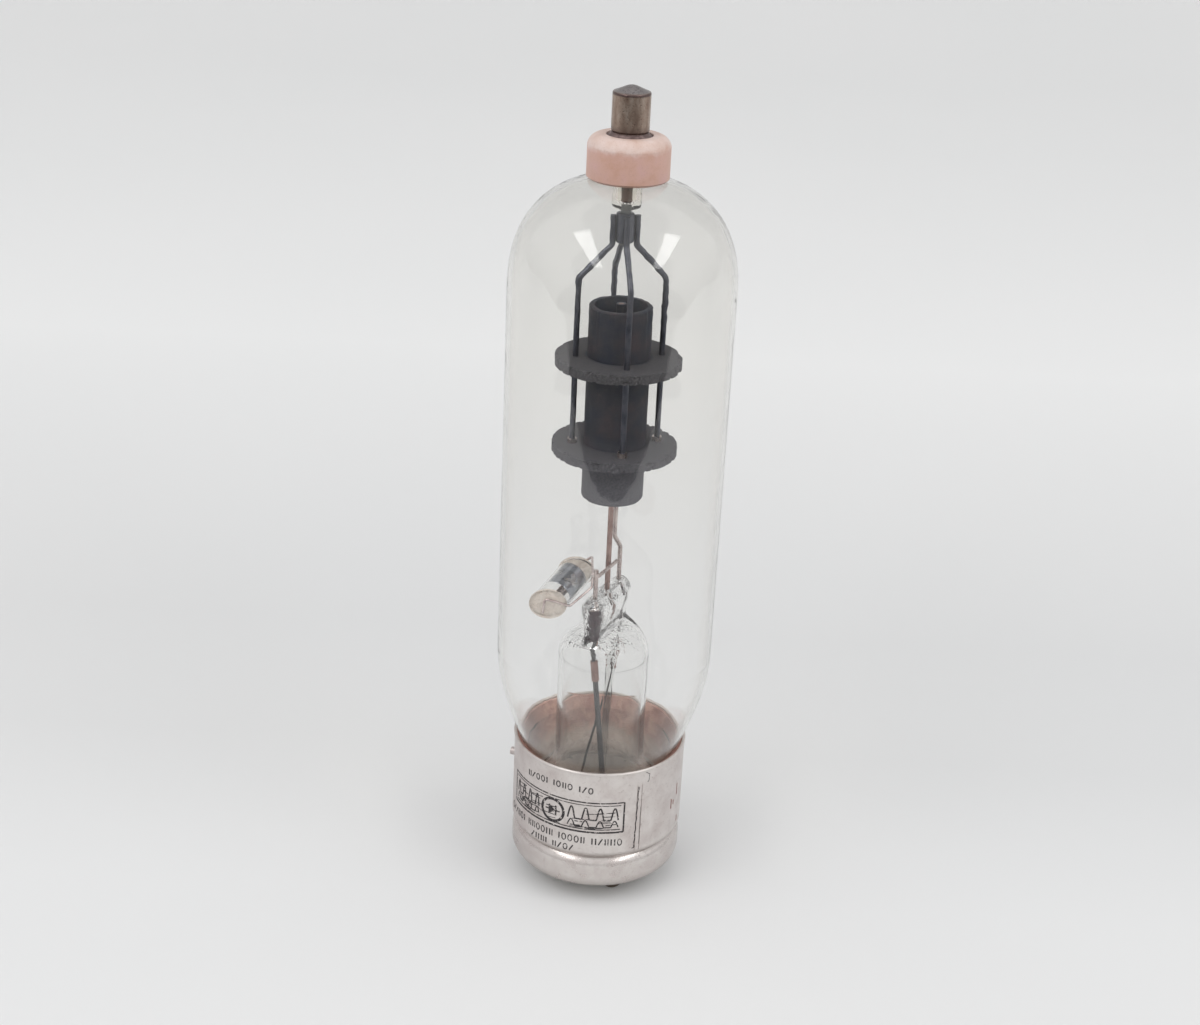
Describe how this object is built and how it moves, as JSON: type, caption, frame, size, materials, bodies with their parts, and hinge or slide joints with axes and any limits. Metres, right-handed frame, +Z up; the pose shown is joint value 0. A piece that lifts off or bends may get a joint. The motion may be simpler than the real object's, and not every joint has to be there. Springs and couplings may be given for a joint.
{
  "type": "vacuum tube",
  "caption": "Upright half-wave rectifier tube: glass bulb, top anode cap on a ceramic collar, finned graphite anode, pinched stem with getter trap, and bayonet pin base.",
  "frame": {"origin": "on the tube's axis, in the plane of the contact pins' tips", "axes": "+Z up along the tube's axis towards the top cap, -Y towards the front, where the lap seam of the base sleeve is"},
  "size_m": [0.0566, 0.0566, 0.215],
  "materials": {
    "clear_glass": "polished",
    "seal_glass": "gloss",
    "collar_ceramic": "satin",
    "base_ceramic": "satin",
    "collar_cement": "matte",
    "base_cement": "matte",
    "cap_solder": "satin",
    "cap_metal": "satin",
    "graphite": "matte",
    "dark_nickel": "satin",
    "tungsten": "satin",
    "bright_nickel": "satin",
    "coppered_wire": "satin",
    "lead_wire": "satin",
    "mica": "satin",
    "shell_plating": "satin",
    "pin_metal": "satin",
    "solder": "satin"
  },
  "bodies": {
    "root": {"glass_bulb": "clear_glass", "stem_glass": "clear_glass", "anode_seal_sleeve": "clear_glass", "exhaust_tube": "clear_glass", "getter_tube": "clear_glass", "lead_bead_front": "seal_glass", "lead_bead_rear": "seal_glass", "cap_collar": "collar_ceramic", "base_insulator": "base_ceramic", "collar_cement": "collar_cement", "base_cement": "base_cement", "cap_foot_ring": "cap_solder", "top_cap": "cap_metal", "graphite_anode": "graphite", "filament_hook": "dark_nickel", "anode_hub": "dark_nickel", "anode_rod_front": "dark_nickel", "anode_rod_right": "dark_nickel", "anode_rod_rear": "dark_nickel", "anode_rod_left": "dark_nickel", "anode_lead_rod": "tungsten", "filament_helix": "tungsten", "rod_end_ferrules": "bright_nickel", "filament_clamp": "bright_nickel", "filament_crossbar": "bright_nickel", "filament_side_rod": "bright_nickel", "filament_post": "bright_nickel", "anode_seal_eyelet": "bright_nickel", "getter_strip": "bright_nickel", "filament_centre_rod": "coppered_wire", "getter_wire_front": "coppered_wire", "getter_wire_rear": "coppered_wire", "lead_splices": "coppered_wire", "lead_wire_front": "lead_wire", "lead_wire_rear": "lead_wire", "getter_disc_front": "mica", "getter_disc_rear": "mica", "base_sleeve": "shell_plating", "base_cup": "shell_plating", "bayonet_pin": "shell_plating", "contact_pin_1": "pin_metal", "contact_pin_2": "pin_metal", "contact_pin_3": "pin_metal", "contact_pin_4": "pin_metal", "pin_solder": "solder"}
  },
  "joints": []
}
